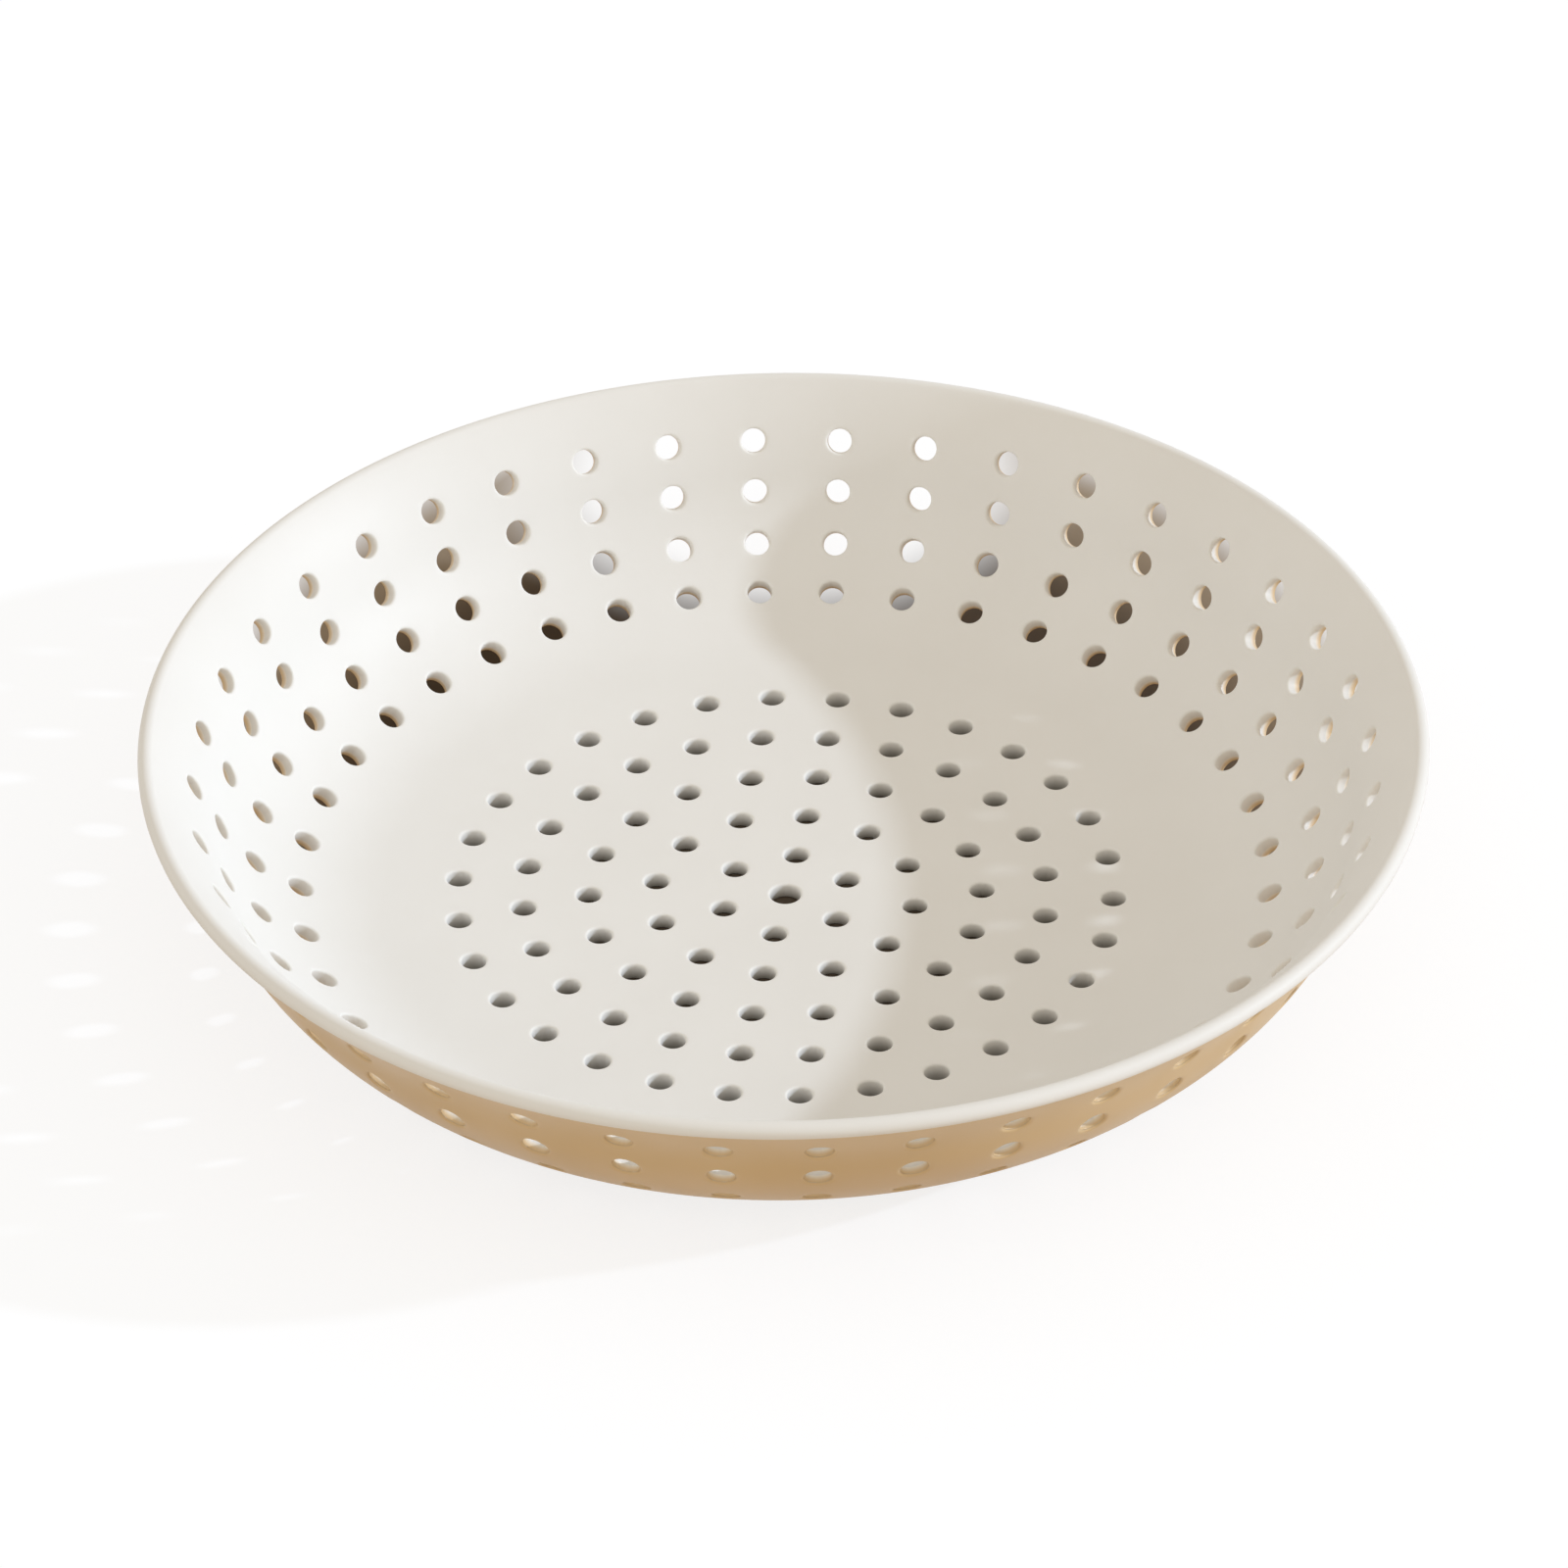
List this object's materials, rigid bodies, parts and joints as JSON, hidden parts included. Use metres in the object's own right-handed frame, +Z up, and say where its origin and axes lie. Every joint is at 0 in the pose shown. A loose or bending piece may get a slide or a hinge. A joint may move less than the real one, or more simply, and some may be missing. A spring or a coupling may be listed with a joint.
{
  "type": "steamer basket",
  "caption": "Shallow round steamer basket with a flared, rounded lip: a cast bowl pierced with rings and rows of steam holes, white inside and tan outside.",
  "frame": {"origin": "on the basket's axis, in the plane of the flat base that it rests on", "axes": "+Z up along the basket's axis, out of its open mouth; +X and +Y lie in the plane of the base"},
  "size_m": [0.24, 0.24, 0.0439],
  "materials": {
    "cast_aluminium": "turned smooth on the bare base, as cast under the coats",
    "white_ceramic": "smooth ceramic coat, satin",
    "tan_ceramic": "smooth ceramic coat, satin"
  },
  "bodies": {
    "root": {"cast_bowl": "cast_aluminium", "white_lining": "white_ceramic", "tan_coat": "tan_ceramic"}
  },
  "joints": []
}
